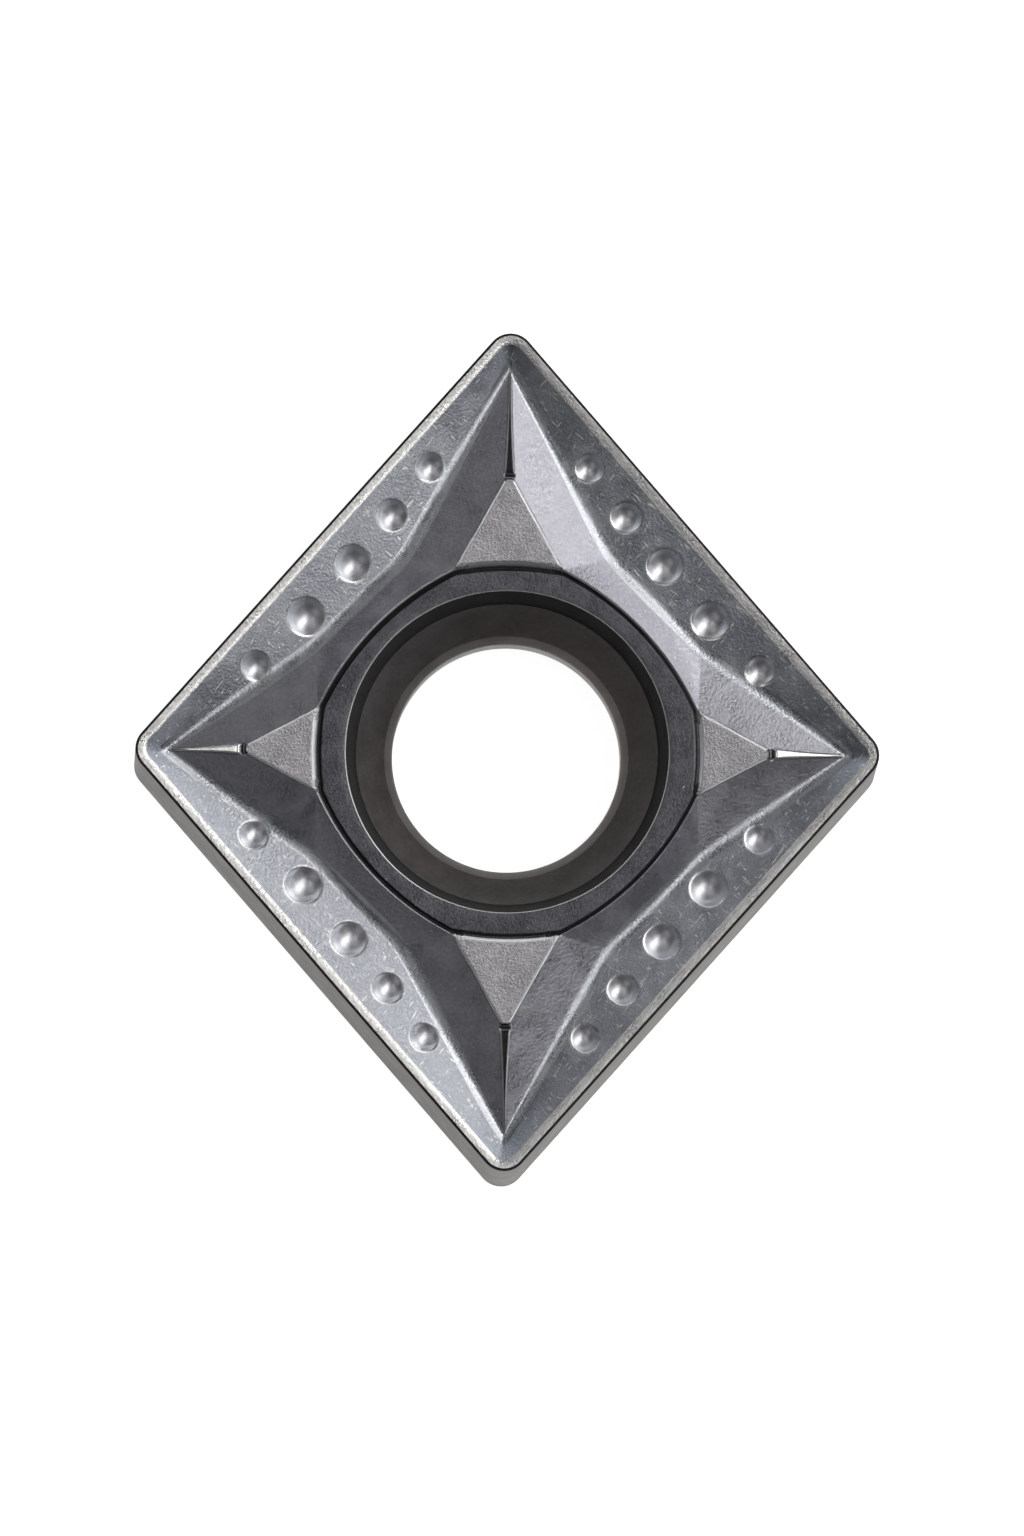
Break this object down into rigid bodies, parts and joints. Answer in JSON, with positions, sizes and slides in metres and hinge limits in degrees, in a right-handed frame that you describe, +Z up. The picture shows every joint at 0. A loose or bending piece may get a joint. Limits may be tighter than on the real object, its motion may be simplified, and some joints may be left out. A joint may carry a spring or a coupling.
{
  "type": "indexable carbide turning insert",
  "caption": "Rhombic double-sided carbide insert with pressed chipbreaker, seat pads, dimples and a countersunk bore.",
  "frame": {"origin": "on the bore's axis, in the plane of the lower seat pads that the insert rests on", "axes": "+Z up through the bore, +Y along the long diagonal, +X along the short diagonal"},
  "size_m": [0.0124, 0.014, 0.0032],
  "materials": {
    "cemented_carbide": "pressed and sintered carbide with a smooth dark grey coating and ground seat pads"
  },
  "bodies": {
    "root": {"carbide_insert": "cemented_carbide"}
  },
  "joints": []
}
